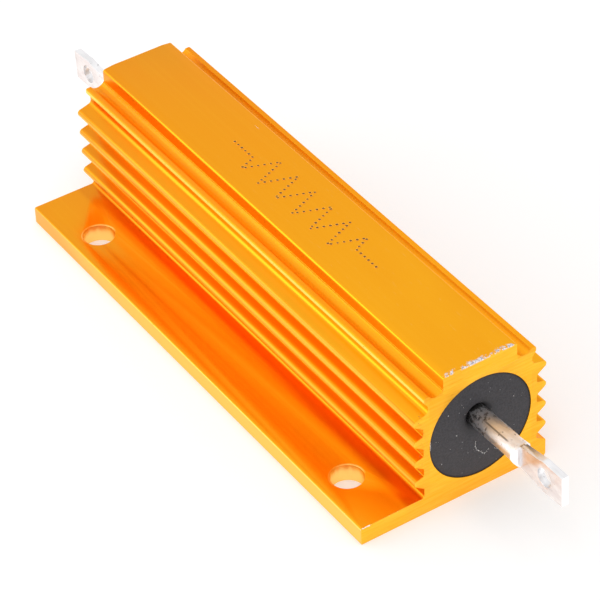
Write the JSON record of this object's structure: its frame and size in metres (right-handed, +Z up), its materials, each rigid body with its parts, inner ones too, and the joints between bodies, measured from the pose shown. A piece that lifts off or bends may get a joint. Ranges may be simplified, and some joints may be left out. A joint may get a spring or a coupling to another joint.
{
  "type": "aluminium housed power resistor",
  "caption": "Wire-wound power resistor potted in a finned, gold anodised extruded housing with a mounting flange along one side and an eyeleted terminal at each end.",
  "frame": {"origin": "on the flat base, under the axis of the bore and midway between the ends of the housing", "axes": "+X along the body towards the front end, whose terminal sits higher; the flange is at -Y; +Z up, away from the mounting surface"},
  "size_m": [0.1296, 0.0318, 0.0234],
  "materials": {
    "gold_anodised": "satin gold anodising over fine lengthwise extrusion lines",
    "black_compound": "matt black sealing compound",
    "tinned_pin": "dull tinned, with press marks",
    "steatite": "unglazed",
    "cap_steel": "nickel plated",
    "resistance_alloy": "drawn wire",
    "grey_potting": "cured potting"
  },
  "bodies": {
    "root": {"housing": "gold_anodised", "front_seal": "black_compound", "rear_seal": "black_compound", "front_terminal": "tinned_pin", "rear_terminal": "tinned_pin", "ceramic_core": "steatite", "front_core_cap": "cap_steel", "rear_core_cap": "cap_steel", "resistance_wire": "resistance_alloy", "filling": "grey_potting"}
  },
  "joints": []
}
